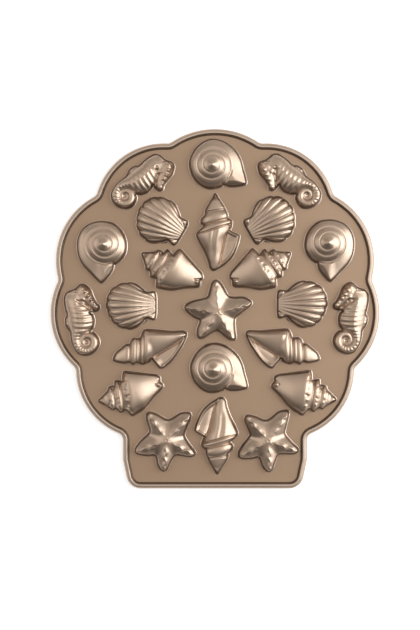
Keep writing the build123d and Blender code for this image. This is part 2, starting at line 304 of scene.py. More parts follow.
def spindle_height(x, y, depth):
    """Long shell with slanted whorls, a body of two rolls with a crease between them, and a lip plate at +Y."""
    along = x + y * graph(x, [(-34, 0.05), (-17, 0.17), (-7.6, 0.29), (0, 0.36)]) * (1 - ramp(x, -2, 10))
    spire = turned(along, y, SPINDLE_STATIONS, 4.0, 0.50)
    keel = graph(x, [(-4, 0.4), (4, -0.8), (10, -1.6), (18, -1.7), (26.5, -1.2), (34, -1.6)])
    left = graph(x, [(-4, 14), (0.5, 13.2), (7, 9.6), (18.4, 6.6), (29, 4.0), (34, 0.4)])
    right = graph(x, [(-4, -17.5), (3.6, -17.9), (9.8, -15.0), (17.8, -10.8), (26.7, -7.2), (34, -4.4)])
    top = graph(x, [(-4, 13.0), (0, 12.8), (6, 12.2), (12, 11.0), (18, 9.4), (27, 7.0), (34, 5.0)])
    body, off = keeled(y, keel, left, right, top, 4.4, 2.0)
    body -= 1.0 * groove(off + 0.6, 2.4) * (1 - ramp(x, 16, 27))
    join = ramp(along, -2.6, -0.8)
    height = spire * (1 - join) + body * join
    lip = [(0.0, 12.0), (2.5, 9.8), (7.0, 8.4), (18.4, 6.2), (29.0, 3.8)]
    valley = near_line(x, y, lip)
    beyond = y > graph(x, [(-2, 15), *lip, (34, 0)])
    plate = 5.6 + 1.3 * groove(depth - 1.7, 1.3) + 0.14 * np.clip(9 - x, 0, 9) - 0.9 * groove(valley, 3.0)
    height = np.where(beyond & (x > -0.9), plate, np.maximum(height, 3.8))
    height -= 1.1 * groove(valley, 0.7)
    return walled(height, depth, 1.5)


MUREX_STATIONS = [
    (-29.6, 0.0, 0.8), (-25, -1.0, 4.6), (-21.6, -2.0, 7.2), (-20.6, -2.3, 7.4), (-17.0, -2.8, 10.9),
    (-15.8, -3.2, 10.6), (-14.6, -3.6, 9.0), (-13.8, -3.8, 10.2), (-9.8, -4.0, 14.5), (-8.6, -3.9, 14.2),
    (-7.2, -4.2, 11.8), (-6.4, -4.2, 13.4), (-3, -3.8, 16.9), (0.4, -3.0, 19.7), (1.7, -2.9, 19.6), (5, -3.0, 18.3),
    (10, -3.2, 16.0), (18, -3.1, 12.0), (24, -3.2, 8.8), (28, -3.4, 6.6), (30, -3.4, 5.0),
]
MUREX_KNOBS = [  # x, y, radius and height, as in the seahorse's knobs
    (0.8, 12.0, 1.3, 0.7), (-0.5, 7.2, 1.3, 0.8), (-2.2, 2.2, 1.2, 0.5), (-3.4, -2.6, 1.4, 0.9), (-4.4, -8.4, 1.2, 0.6),
    (-5.5, -14.2, 1.4, 0.8), (-6.0, -18.4, 1.2, 0.6), (-9.6, 8.6, 1.1, 0.5), (-10.6, 5.0, 1.1, 0.7),
    (-11.6, 1.2, 1.0, 0.4), (-12.4, -2.3, 1.2, 0.8), (-13.0, -6.2, 1.0, 0.5), (-13.5, -9.8, 1.2, 0.7),
    (-17.4, 2.8, 0.9, 0.5), (-18.6, -1.6, 1.0, 0.6), (-18.8, -6.0, 0.9, 0.5), (25.9, -5.0, 1.6, 1.4),
    (-1.8, -4.4, 0.9, -0.5), (-11.0, -3.8, 0.8, -0.4),
]


def murex_height(x, y, depth):
    """Stout shell with knobbed shoulders on three whorls and a smooth body that ends in a bead at +X."""
    along = x - 0.2 * y * (1 - ramp(x, -1, 9))
    foot = 4.4
    drawn_in = graph(x, [(-2, 1.0), (6, 1.0), (12, 0.96), (18, 0.84), (24, 0.68), (30, 0.5)])
    height = foot + (turned(along, y, MUREX_STATIONS, foot, 0.46) - foot) * drawn_in
    height = np.maximum(height, 4.0)
    for *at, radius, rise in MUREX_KNOBS:
        height += knob(x, y, at, radius, rise)
    notch = near_line(x, y, [(30.0, -1.4), (26.5, -2.4), (23.4, -4.2)])
    height -= 1.1 * groove(notch, 0.7)
    return walled(height, depth, 1.6)


WHELK_STATIONS = [
    (-35.2, -1.0, 1.6), (-33.5, -1.0, 4.2), (-30, -1.0, 6.8), (-25, -1.2, 9.2), (-21.0, -1.8, 10.4),
    (-19.8, -2.0, 10.2), (-18.8, -2.0, 8.4), (-18.0, -1.6, 10.2), (-16.0, -1.3, 12.8), (-14.0, -1.5, 12.9),
    (-12.8, -1.6, 12.0), (-11.8, -1.7, 12.8), (-10.6, -1.8, 12.4), (-9.3, -1.8, 9.8), (-8.2, -1.4, 12.2),
    (-6.6, -0.8, 12.9), (-5.6, -0.4, 12.2), (-4.6, -0.2, 13.8), (-2.8, 0.2, 14.8), (-0.8, 0.8, 14.2),
    (2.9, 1.0, 13.2), (12.8, 1.0, 9.2), (34.6, -0.6, 2.4),
]


def whelk_height(x, y, depth):
    """Cone-tipped shell with ringed whorls, a keeled body and a lip plate at -Y."""
    along = x - 0.36 * y * (1 - ramp(x, -6, 6))
    spire = turned(along, y, WHELK_STATIONS, 4.0, 0.50)
    ridge = graph(x, [(-2, 9.5), (4.6, 7.4), (13.5, 4.3), (23.4, 1.2), (31, -0.8), (35, -1.4)])
    left = graph(x, [(-2, 15.2), (2.9, 14.8), (12.8, 10.6), (22.6, 6.2), (29.4, 4.1), (35, 0.8)])
    right = graph(x, [(-4, -13.5), (-1.2, -12.0), (5.0, -10.0), (12.3, -8.3), (22.0, -6.4), (31.0, -3.8), (35, -2.6)])
    top = graph(x, [(-2, 11.6), (2.9, 11.4), (12.8, 10.2), (22.6, 8.4), (29.4, 7.0), (35, 5.0)])
    drop = graph(x, [(-2, 6.0), (5, 4.8), (15, 3.6), (25, 2.6), (35, 1.0)])
    off_left = np.clip((y - ridge) / np.maximum(left - ridge, 0.3), 0, 1)
    off_right = np.clip((ridge - y) / np.maximum(ridge - right, 0.3), 0, 1)
    body = top - (top - 4.0) * off_left**1.2 - drop * off_right**1.9
    join = ramp(along, -1.5, 3.0)
    height = np.maximum(spire * (1 - join) + body * join, 3.8)
    lip = [(-1.2, -11.8), (5.0, -9.8), (12.3, -8.1), (22.0, -6.2), (31.0, -3.6)]
    valley = near_line(x, y, [(-3.6, -14.0), *lip])
    beyond = y < graph(x, [(-5, -13), *lip, (35, -2)])
    corner = x + 0.45 * (y + 12)
    plate = 5.2 + 1.3 * groove(depth - 1.6, 1.3) + 1.0 * groove(corner - 0.6, 2.2) - 0.8 * groove(valley, 2.6)
    height = np.where(beyond & (corner > -3.4), plate, height)
    height -= 1.2 * groove(valley, 0.65)
    return walled(height, depth, 1.5)


# Direction in degrees and length of each arm
STAR_ARMS = [(93, 29.6), (16, 31.2), (-59, 28.4), (-126, 27.6), (170, 30.2)]


def star_height(x, y, depth):
    """Starfish whose arms have gently waved ridges, and creases between them."""
    foot = 4.2
    height = np.full(x.shape, foot)
    for number, (angle, length) in enumerate(STAR_ARMS):
        c, s = cos(radians(angle)), sin(radians(angle))
        out, side = x * c + y * s, y * c - x * s
        half = graph(np.clip(out, 0, length), [(0, 12.5), (8, 11.2), (14, 9.6), (20, 8.0), (26, 6.2), (32, 4.2)])
        tops = [(0, 10.6), (6, 10.8), (14, 10.4), (22, 9.4), (27, 8.2), (30, 6.8), (34, 5.0)]
        top = graph(np.clip(out, 0, length + 2), tops)
        waved = ramp(out, 3, 8) * ramp(length - out, 0.5, 5)
        wave = (0.50 * np.sin(2 * pi * out / 7.6 + 1.7 * number) + 0.35 * np.sin(2 * pi * out / 11 + number)) * waved
        off = side - wave * groove(side, 1.7)
        off = (np.sqrt(off * off + 0.15) - 0.3) / half
        roof = foot + (top - foot) * (1 - np.clip(off, 0, 1) ** 1.3) + 0.35 * groove(side - wave, 0.8) * waved
        height = soft_max(height, np.where(out > -1.5, roof, 0), 2.4)
    height -= knob(x, y, (0, 0), 1.3, 0.7)
    return walled(height, depth, 1.6)


# Distance up the body, keel, left edge, right edge and top
SEAHORSE_BODY = [
    (-2, -10.5, -5.8, -15.5, 8.6), (4, -9.6, -3.4, -15.6, 8.8), (10, -7.4, 3.0, -16.0, 9.8),
    (16, -7.0, 6.6, -17.6, 10.7), (21, -7.4, 6.9, -18.4, 11.0), (26, -8.3, 5.4, -19.4, 10.9),
    (31, -9.8, 2.4, -20.8, 10.4), (36, -11.2, 0.5, -21.2, 9.8), (42, -9.0, -1.0, -19.8, 8.6),
]
# Turns from the tail's start, distance to its centre and radius
SEAHORSE_TAIL = [
    (0.00, 9.9, 4.8), (0.25, 7.7, 4.2), (0.50, 6.7, 3.7), (0.75, 5.5, 3.1), (1.00, 3.9, 2.5), (1.25, 2.8, 1.9),
    (1.50, 2.2, 1.6), (1.75, 2.0, 1.5), (2.00, 2.0, 1.5),
]
SEAHORSE_KNOBS = [
    (-5.0, 47.4, 1.7, 1.3), (-1.6, 44.2, 1.6, 1.7), (1.2, 40.6, 1.6, 1.8), (3.7, 37.1, 1.6, 1.6),
    (6.4, 33.9, 1.4, 1.0), (8.2, 30.6, 2.1, 0.9), (-4.4, 37.4, 1.7, 0.8), (-9.8, 34.8, 1.9, 0.6),
    (0.0, 42.4, 0.9, -0.9), (2.7, 38.8, 0.9, -0.9), (5.3, 35.4, 0.9, -0.7), (-6.4, 35.3, 1.5, -1.2),
    (-1.6, 38.0, 1.1, -0.6), (-2.4, 34.6, 1.0, -0.8),
]


def seahorse_height(x, y, depth):
    """Seahorse with its crown at -X and its snout at +Y, and a tail that curls in near the origin."""
    east, north = y, -x
    body, off = keeled(east, *(graph(north, SEAHORSE_BODY, column) for column in (1, 2, 3, 4)), 4.4, 2.1)
    body += 0.18 * groove(off, 1.2)
    banded = ramp(north, 7.0, 10.0) * (1 - ramp(north, 30.0, 33.0)) * (0.25 + 0.75 * ramp(off, -4.0, 0.0))
    body += 0.24 * banded * np.cos(2 * pi * (north - 0.012 * (off - 2) ** 2) / 4.3)
    tapering = ramp(north, -2.0, 1.0) * (1 - ramp(north, 7.0, 10.0)) * groove(off, 3.2)
    body += 0.20 * tapering * np.cos(2 * pi * north / 2.7)
    fin = 4.3 + 0.7 * groove(east + 17.5, 1.8) * groove(north - 16.5, 5.0)
    fin += 0.15 * np.cos(2 * pi * north / 3.0) * ramp(-east, 15.0, 16.5)
    snout = [(-4.5, 42.5, 6.4, 4.6), (-1.5, 39.2, 6.0, 4.8), (2.5, 34.8, 4.4, 4.8), (7.2, 30.8, 3.4, 4.8)]
    head = limb(east, north, snout, 0.72)
    crown = limb(east, north, [(-4.6, 43.0, 4.6, 4.8), (-5.4, 47.4, 3.4, 4.4)], 0.66)
    round_x, round_y = east + 0.6, north + 0.6
    from_coil = np.hypot(round_x, round_y)
    lap = (np.degrees(np.arctan2(round_y, round_x)) - 180) % 360 / 360
    tail = np.full(x.shape, 4.0)
    for turns in (0, 1):
        radius = graph(lap + turns, SEAHORSE_TAIL, 2)
        across = (from_coil - graph(lap + turns, SEAHORSE_TAIL, 1)) / radius
        bar = 0.20 * np.cos(36 * pi * lap) * (1 - ramp(lap + turns, 0.25, 0.45)) * groove(across, 0.6)
        tail = np.maximum(tail, np.where(abs(across) < 1, 4.0 + 0.95 * radius * arch(across) + bar, 0))
    tail -= 0.8 * knob(round_x, round_y, (0, 0), 0.9, 1.0)
    above = ramp(north, -2.8, -0.7)
    height = np.where(north < 43, body, 4.4) * above + tail * (1 - above)
    height = np.where(from_coil < 13.5, np.maximum(height, tail), height)
    height = soft_max(height, fin, 0.4)
    height = soft_max(soft_max(height, head, 0.5), crown, 0.6)
    for *at, radius, rise in SEAHORSE_KNOBS:
        height += knob(east, north, at, radius, rise)
    jaw = near_line(east, north, [(-9.4, 36.2), (-6.0, 33.8), (-2.8, 32.4), (2.2, 28.4)])
    height -= 1.2 * groove(jaw, 0.9)
    return walled(height, depth, 1.5)


# Node, which starts with its design's name, place on the deck, turn in degrees, and whether the design is mirrored
CUPS = [
    ("snail_cup_top", (-2.4, 127.6), 58, True),
    ("snail_cup_centre", (-1.4, -53.3), 58, True),
    ("snail_cup_left", (-99.2, 57.2), 0, False),
    ("snail_cup_right", (100.3, 58.5), 0, True),
    ("seahorse_cup_top_left", (-79.0, 99.7), -151, False),
    ("seahorse_cup_top_right", (80.8, 100.0), 151, True),
    ("seahorse_cup_left", (-113.2, -28.9), -90, False),
    ("seahorse_cup_right", (115.4, -27.4), 90, True),
    ("scallop_cup_left", (-74.3, 2.4), 0, False),
    ("scallop_cup_right", (77.3, 3.8), 0, True),
    ("scallop_cup_upper_left", (-48.3, 76.9), -30, False),
    ("scallop_cup_upper_right", (49.6, 77.7), 30, True),
    ("spindle_cup_top", (0.1, 68.5), -90, False),
    ("spindle_cup_bottom", (3.4, -113.0), 88, False),
    ("murex_cup_upper_left", (-38.1, 38.1), -22, False),
    ("murex_cup_upper_right", (40.2, 38.5), 22, True),
    ("murex_cup_lower_left", (-76.1, -71.7), 21, False),
    ("murex_cup_lower_right", (80.1, -71.1), -20, True),
    ("whelk_cup_left", (-57.8, -32.4), 19, False),
    ("whelk_cup_right", (60.2, -32.0), -19, True),
    ("star_cup_centre", (2.6, -3.8), 0, False),
    ("star_cup_left", (-42.7, -116.3), 31, False),
    ("star_cup_right", (47.2, -116.7), 39, False),
]
DESIGNS = {
    "snail": (SNAIL_OUTLINE, snail_height),
    "seahorse": (SEAHORSE_OUTLINE, seahorse_height),
    "scallop": (lobed(SCALLOP_OUTLINE), scallop_height),
    "spindle": (SPINDLE_OUTLINE, spindle_height),
    "murex": (MUREX_OUTLINE, murex_height),
    "whelk": (WHELK_OUTLINE, whelk_height),
    "star": (STAR_OUTLINE, star_height),
}

# Lobe circles (x, y, radius) of the tray's right half, the first one on the centre line
LOBES = [(0, 90.2, 69.8), (45.6, 85.4, 61.9), (76.9, 42.8, 64.7), (81.4, -4.0, 64.9), (62.1, -54.0, 61.7)]

# ---- meshes


def contour(field, level, low, step):
    """Longest closed line along which a gridded field has a level."""
    above = field > level
    links = {}
    count = sum(part.astype(int) for part in (above[:-1, :-1], above[1:, :-1], above[1:, 1:], above[:-1, 1:]))
    for i, j in np.argwhere((count > 0) & (count < 4)).tolist():
        corners = [(i, j), (i + 1, j), (i + 1, j + 1), (i, j + 1)]
        sides = zip(corners, corners[1:] + corners[:1])
        cuts = [(min(a, b), max(a, b)) for a, b in sides if above[a] != above[b]]
        for a, b in zip(cuts[::2], cuts[1::2]):
            links.setdefault(a, []).append(b)
            links.setdefault(b, []).append(a)
    best = []
    while links:
        line, here = [], next(iter(links))
        while here:
            line.append(here)
            ahead = [cut for cut in links.pop(here) if cut in links]
            here = ahead[0] if ahead else None
        if len(line) > len(best):
            best = line
    points = []
    for a, b in best:
        t = (level - field[a]) / (field[b] - field[a])
        points.append((low[0] + step * (a[0] + t * (b[0] - a[0])), low[1] + step * (a[1] + t * (b[1] - a[1]))))
    return np.array(points)


def respaced(line, spacing):
    """A closed line with evenly spaced points."""
    closed = np.vstack([line, line[:1]])
    length = np.concatenate([[0], np.cumsum(np.hypot(*np.diff(closed, axis=0).T))])
    at = np.linspace(0, length[-1], max(8, int(length[-1] / spacing)), endpoint=False)
    return np.stack([np.interp(at, length, closed[:, 0]), np.interp(at, length, closed[:, 1])], axis=1)


def filled(rings, points=None):
    """Flat triangles over the area inside rings, through extra points: their corners and faces."""
    corners, edges = [], []
    for ring in rings:
        first = len(corners)
        corners.extend(ring.tolist())
        edges.extend((first + n, first + (n + 1) % len(ring)) for n in range(len(ring)))
    if points is not None:
        corners.extend(points.tolist())
    flat, _, faces, *_ = delaunay_2d_cdt([Vector(corner) for corner in corners], edges, [], 1, 1e-5)
    return np.array([tuple(corner) for corner in flat]), np.array([tuple(face) for face in faces])


def shell(points, height, deck, wall, foot, spacing):
    """A cup's closed mesh about its design's own centre: corners, faces and at_foot values.

    Its top rises from a flange inside the deck up a concave foot and over the form. Below are a flat ring round the
    cup's mouth and a cave that follows the form a wall's thickness inside it.
    """
    hidden = -0.06  # height over the deck of the parts that lie just inside it
    edge = 0.9  # width over which the form and the cave rise from their walls
    least_form, least_roof = foot + 0.3, 0.6
    flange = foot + 1.2
    outline = closed_curve(points)
    low = outline.min(0) - flange - 3 * spacing
    counts = np.ceil((outline.max(0) + flange + 3 * spacing - low) / spacing).astype(int)
    grid = np.meshgrid(*(start + spacing * np.arange(count) for start, count in zip(low, counts)), indexing="ij")
    depth = depth_inside(*grid, outline)

    def ring(level, gap=1.0):
        return respaced(contour(depth, level, low, spacing), gap * spacing)

    def grid_points(mask):
        return np.stack([grid[0][mask], grid[1][mask]], axis=1)

    levels = (-flange, -foot, -0.7 * foot, -0.4 * foot, -0.16 * foot, 0.05, 0.25, 0.6)
    rings = [ring(level) for level in levels]
    mouth, throat = ring(wall, 1.5), ring(wall + 0.35, 1.5)

    top, top_faces = filled(rings, grid_points(depth > edge))
    d = depth_inside(*top.T, outline)
    form = np.maximum(height(*top.T, np.clip(d, 0, None)), least_form)
    skirt = foot - np.sqrt(np.clip(foot**2 - (foot + np.clip(d, -foot, 0)) ** 2, 0, None))
    z = np.where(d <= 0, skirt, foot + (form - foot) * ramp(d, -0.2, edge) ** 0.8)
    z = np.where(d < 0.98 * -foot, hidden, z)
    top = np.column_stack([top, deck + z])
    # Painted light: a pale painted highlight on the concave foot just outside the outline,
    # and a band of painted shade on the steep wall just inside it
    at_foot = 0.8 * np.clip(-d / (0.5 * foot), 0, 1) - groove(d - 0.6, 0.8) * (d > 0)

    under, under_faces = filled([rings[0], mouth])
    in_mouth = depth_inside(*under[under_faces].mean(1).T, mouth) > 0
    under_faces = under_faces[~in_mouth]
    under = np.column_stack([under, np.full(len(under), deck + hidden)])

    coarse = (depth > wall + edge) & (np.indices(depth.shape).sum(0) % 2 == 0)
    cave, cave_faces = filled([mouth, throat], grid_points(coarse))
    d = depth_inside(*cave.T, outline)
    roof = np.maximum(0.92 * height(*cave.T, np.clip(d, 0, None)) - wall, least_roof)
    z = np.where(d < wall + 0.15, hidden, roof * ramp(d, wall + 0.05, wall + edge) ** 0.5)
    cave = np.column_stack([cave, deck + z])

    # The lower parts face down
    lower_faces = [under_faces[:, ::-1] + len(top), cave_faces[:, ::-1] + len(top) + len(under)]
    at_foot = np.concatenate([at_foot, np.zeros(len(under) + len(cave))])
    return np.vstack([top, under, cave]), np.vstack([top_faces, *lower_faces]), at_foot


def placed(points, spot, turn, mirrored):
    """Points of a design mirrored where asked, turned by degrees and moved to a spot."""
    x = -points[:, 0] if mirrored else points[:, 0]
    y = points[:, 1]
    c, s = cos(radians(turn)), sin(radians(turn))
    out = points.copy()
    out[:, 0] = x * c - y * s + spot[0]
    out[:, 1] = x * s + y * c + spot[1]
    return out


def outward(mesh, merge=0.0):
    """Shades a mesh smooth with its faces outwards, after merging points that are closer than a distance."""
    form = bmesh.new()
    form.from_mesh(mesh)
    if merge:
        bmesh.ops.remove_doubles(form, verts=form.verts, dist=merge)
        bmesh.ops.dissolve_degenerate(form, edges=form.edges, dist=1e-7)
    bmesh.ops.recalc_face_normals(form, faces=form.faces)
    form.to_mesh(mesh)
    form.free()
    mesh.shade_smooth()


def set_painted_light(mesh, values):
    """Gives a mesh its painted light: a painted highlight where a value is over 0 and painted shade where it is under
    0.
    """
    mesh.attributes.new("at_foot", "FLOAT", "POINT").data.foreach_set("value", values.astype(np.float32))


def added(name, data):
    """An object of mesh, light or camera data, in the scene."""
    made = bpy.data.objects.new(name, data)
    bpy.context.scene.collection.objects.link(made)
    return made


def tray_line(spacing):
    """Closed line of the tray's outline: lobe arcs joined by small valley arcs, over a base that narrows downwards."""
    valley, corner = 6.0, 13.0  # radii
    waist_x, waist_y = 82.0, -134.0
    base_x, base_y = 76.5, -160.0
    centres = []
    for (ax, ay, ar), (bx, by, br) in zip(LOBES, LOBES[1:]):
        reach_a, reach_b, gap = ar + valley, br + valley, hypot(bx - ax, by - ay)
        along = (reach_a**2 - reach_b**2 + gap**2) / (2 * gap)
        off = sqrt(reach_a**2 - along**2)
        ux, uy = (bx - ax) / gap, (by - ay) / gap
        # Of the two circles that touch both lobes, the valley's is the one outside the tray
        meetings = [(ax + along * ux + k * off * uy, ay + along * uy - k * off * ux) for k in (1, -1)]
        centres.append(max(meetings, key=lambda meeting: hypot(meeting[0] - 20, meeting[1] - 20)))
    x, y, r = LOBES[-1]
    centres.append((waist_x + valley, y - sqrt((r + valley) ** 2 - (waist_x + valley - x) ** 2)))

    def arc(centre, radius, start, end):
        """Points from one angle to another, the short way round."""
        sweep = (end - start + pi) % (2 * pi) - pi
        turns = start + sweep * np.linspace(0, 1, max(3, int(abs(sweep) * radius / spacing)))
        return [(centre[0] + radius * cos(turn), centre[1] + radius * sin(turn)) for turn in turns]

    def toward(a, b):
        return atan2(b[1] - a[1], b[0] - a[0])

    right = []
    start = pi / 2
    for lobe, centre, after in zip(LOBES, centres, [*LOBES[1:], None]):
        right += arc(lobe, lobe[2], start, toward(lobe, centre))
        right += arc(centre, valley, toward(centre, lobe), toward(centre, after) if after else pi)
        if after:
            start = toward(after, centre)
    slope = (waist_x - base_x) / (waist_y - base_y)
    lean = atan2(slope, 1)
    corner_x = base_x + slope * corner - corner / cos(lean)
    right += [(waist_x, waist_y), *arc((corner_x, base_y + corner), corner, -lean, -pi / 2)]
    line = np.array(right + [(-x, y) for x, y in reversed(right)])
    keep = np.hypot(*(line - np.roll(line, 1, 0)).T) > 0.05
    return respaced(line[keep], spacing)


# ---- materials


def add_node(tree, name, kind, inputs=None, **settings):
    """A named node with its settings, and with each input set to a value or linked to another node's output."""
    made = tree.nodes.new(kind)
    made.name = name
    made.location = (240 * (len(tree.nodes) % 6), -260 * (len(tree.nodes) // 6))
    for key, value in settings.items():
        setattr(made, key, value)
    for key, value in (inputs or {}).items():
        if isinstance(value, bpy.types.NodeSocket):
            tree.links.new(value, made.inputs[key])
        else:
            made.inputs[key].default_value = value
    return made


def maths(tree, name, operation, *inputs):
    return add_node(tree, name, "ShaderNodeMath", dict(enumerate(inputs)), operation=operation).outputs[0]


def mapped(tree, name, value, start, end, **settings):
    """A value carried from one range to another."""
    inputs = {"Value": value, "From Min": start[0], "From Max": start[1], "To Min": end[0], "To Max": end[1]}
    return add_node(tree, name, "ShaderNodeMapRange", inputs, **settings).outputs["Result"]


def blank_tree(owner):
    """The emptied node tree of a material or world."""
    owner.use_nodes = True
    owner.node_tree.nodes.clear()
    return owner.node_tree


def seen_rays(tree):
    """1 for rays from the camera, from glossy reflections and through glass, which show the white background."""
    rays = add_node(tree, "rays", "ShaderNodeLightPath").outputs
    bounced = maths(tree, "bounced", "MAXIMUM", rays["Is Glossy Ray"], rays["Is Transmission Ray"])
    return maths(tree, "seen", "MAXIMUM", rays["Is Camera Ray"], bounced)


def coated_metal(name, colour, roughness, gloss, flake):
    """Cast aluminium under a satin nonstick coat: fine metallic flake, cast mottling and a faint orange-peel bump.

    A mesh attribute paints light on the coat: painted highlights towards pale cream over 0, painted shade under 0.
    """
    material = bpy.data.materials.new(name)
    tree = blank_tree(material)
    place = add_node(tree, "place", "ShaderNodeTexCoord").outputs["Object"]

    def noise(label, scale, detail, rough=0.5):
        inputs = {"Vector": place, "Scale": scale, "Detail": detail, "Roughness": rough}
        return add_node(tree, label, "ShaderNodeTexNoise", inputs).outputs["Fac"]

    def blend(label, share, a, b):
        inputs = {"Factor": share, "A": a, "B": b}
        return add_node(tree, label, "ShaderNodeMix", inputs, data_type="RGBA").outputs["Result"]

    flakes, mottle, peel = noise("flakes", 2600, 1.0), noise("mottle", 38, 4.0, 0.55), noise("peel", 900, 2.0)
    grain = maths(tree, "grain", "MULTIPLY_ADD", flakes, 0.45, maths(tree, "scaled", "MULTIPLY", mottle, 0.55))
    darker, lighter = ((*[min(1, c * share) for c in colour], 1) for share in (1 - flake, 1 + flake))
    shade = blend("shade", grain, darker, lighter)
    # Painted light from the mesh: over 0 a painted highlight, under 0 painted shade
    foot = add_node(tree, "foot", "ShaderNodeAttribute", attribute_name="at_foot").outputs["Fac"]
    # Painted shade: the colour darkened down to a quarter where the attribute is under 0
    dark = mapped(tree, "dark", foot, (-1.0, 0.0), (0.24, 1.0))
    worn = add_node(tree, "worn", "ShaderNodeVectorMath", {0: shade, "Scale": dark}, operation="SCALE").outputs[0]
    bump = add_node(tree, "bump", "ShaderNodeBump", {"Height": peel, "Strength": 0.12, "Distance": 0.00006})
    metal = add_node(tree, "coat", "ShaderNodeBsdfPrincipled", {
        # Painted highlight: the colour mixed towards pale cream where the attribute is over 0
        "Base Color": blend("bare", foot, worn, (0.78, 0.68, 0.60, 1)),
        "Metallic": 1.0,
        "Roughness": mapped(tree, "gloss", mottle, (0.0, 1.0), (roughness - 0.05, roughness + 0.06)),
        "Normal": bump.outputs["Normal"],
        "Coat Weight": gloss,
        "Coat Roughness": 0.22,
        "Coat IOR": 1.5,
    })
    add_node(tree, "out", "ShaderNodeOutputMaterial", {"Surface": metal.outputs["BSDF"]})
    return material


def sweep_tree(material):
    """Geometry nodes that sweep the rim's section along the tray's outline."""
    tree = bpy.data.node_groups.new("Rim sweep", "GeometryNodeTree")
    tree.interface.new_socket("Geometry", in_out="INPUT", socket_type="NodeSocketGeometry")
    for label, value in (
        ("Width", 0.0052), ("Height", 0.0068), ("Outer Round", 0.0026), ("Inner Round", 0.0007), ("Foot", 0.0012),
        ("Draft", 0.001), ("Deck", 0.003),
    ):
        socket = tree.interface.new_socket(label, in_out="INPUT", socket_type="NodeSocketFloat")
        socket.default_value = value
        socket.subtype = "DISTANCE"
    tree.interface.new_socket("Geometry", in_out="OUTPUT", socket_type="NodeSocketGeometry")
    sizes = add_node(tree, "sizes", "NodeGroupInput").outputs
    width, draft = sizes["Width"], sizes["Draft"]

    def number(operation, *inputs):
        return maths(tree, operation.lower(), operation, *inputs)

    def section(name, *corners):
        """A closed line through four corners (x, y)."""
        points = {}
        for n, (x, y) in enumerate(corners, 1):
            points[f"Point {n}"] = add_node(tree, f"{name} {n}", "ShaderNodeCombineXYZ", {"X": x, "Y": y}).outputs[0]
        return add_node(tree, name, "GeometryNodeCurvePrimitiveQuadrilateral", points, mode="POINTS").outputs["Curve"]

    # Heights on the section are negative, because its Y points down on the swept rim
    height, deck, foot = (number("MULTIPLY", sizes[label], -1.0) for label in ("Height", "Deck", "Foot"))
    border = section(
        "border",
        (0.0, 0.0),
        (number("MULTIPLY_ADD", draft, 0.6, width), 0.0),
        (number("SUBTRACT", width, draft), height),
        (draft, height),
    )
    order = add_node(tree, "order", "GeometryNodeInputIndex").outputs[0]
    outer, inner = (
        number("MULTIPLY", number("COMPARE", order, corner, 0.1), sizes[label])
        for corner, label in ((3.0, "Outer Round"), (2.0, "Inner Round"))
    )
    rounding = {"Curve": border, "Count": 9, "Radius": number("ADD", outer, inner)}
    rounded = add_node(tree, "rounded", "GeometryNodeFilletCurve", rounding, mode="POLY").outputs["Curve"]
    overlap, sunk = 0.0006, 0.0002  # metres that the foot reaches into the border and the deck
    inside, below = number("SUBTRACT", width, overlap), number("ADD", deck, sunk)
    hollow_x = number("ADD", width, number("MULTIPLY", sizes["Foot"], 0.30))
    hollow_y = number("ADD", below, number("MULTIPLY", foot, 0.38))
    inner_foot = section(
        "inner foot",
        (inside, below),
        (number("ADD", width, sizes["Foot"]), below),
        (hollow_x, hollow_y),
        (inside, number("ADD", deck, foot)),
    )
    path = add_node(tree, "path", "GeometryNodeMeshToCurve", {"Mesh": sizes["Geometry"]}).outputs["Curve"]
    upright = add_node(tree, "upright", "GeometryNodeSetCurveNormal", {"Curve": path}, mode="Z_UP").outputs["Curve"]
    join = add_node(tree, "join", "GeometryNodeJoinGeometry")
    for profile in (rounded, inner_foot):
        swept = add_node(tree, "sweep", "GeometryNodeCurveToMesh", {"Curve": upright, "Profile Curve": profile})
        tree.links.new(swept.outputs["Mesh"], join.inputs["Geometry"])
    real = add_node(tree, "real", "GeometryNodeRealizeInstances", {"Geometry": join.outputs["Geometry"]})
    coating = {"Geometry": real.outputs["Geometry"], "Material": material}
    coated = add_node(tree, "coat", "GeometryNodeSetMaterial", coating)
    add_node(tree, "out", "NodeGroupOutput", {"Geometry": coated.outputs["Geometry"]})
    return tree


def grown(name, base, tree, **sizes):
    """The plain mesh that a node tree makes from a base mesh."""
    holder = added(name + "_base", base)
    modifier = holder.modifiers.new("grow", "NODES")
    modifier.node_group = tree
    for item in tree.interface.items_tree:
        if item.item_type == "SOCKET" and item.in_out == "INPUT" and item.name in sizes:
            modifier[item.identifier] = sizes[item.name]
    holder.update_tag()
    depsgraph = bpy.context.evaluated_depsgraph_get()
    depsgraph.update()
    mesh = bpy.data.meshes.new_from_object(holder.evaluated_get(depsgraph))
    mesh.name = name
    bpy.data.objects.remove(holder)
    return mesh


# ---- add-on


class PanSizes(bpy.types.PropertyGroup):
    """Sizes of the pan's casting."""

    deck: FloatProperty(
        name="Deck", description="Thickness of the deck between the cups", default=0.003, unit="LENGTH"
    )
    wall: FloatProperty(name="Wall", description="Thickness of the cups' walls", default=0.0024, unit="LENGTH")
    foot: FloatProperty(
        name="Foot", description="Radius of the foot where a cup meets the deck", default=0.0009, unit="LENGTH"
    )
    spacing: FloatProperty(
        name="Spacing", description="Distance between the points of a cup's surface", default=0.00045, unit="LENGTH"
    )
    rim_width: FloatProperty(name="Rim Width", description="Width of the raised rim", default=0.0052, unit="LENGTH")
    rim_height: FloatProperty(
        name="Rim Height",
        description="Height of the rim over the surface the pan lies on",
        default=0.0068,
        unit="LENGTH",
    )


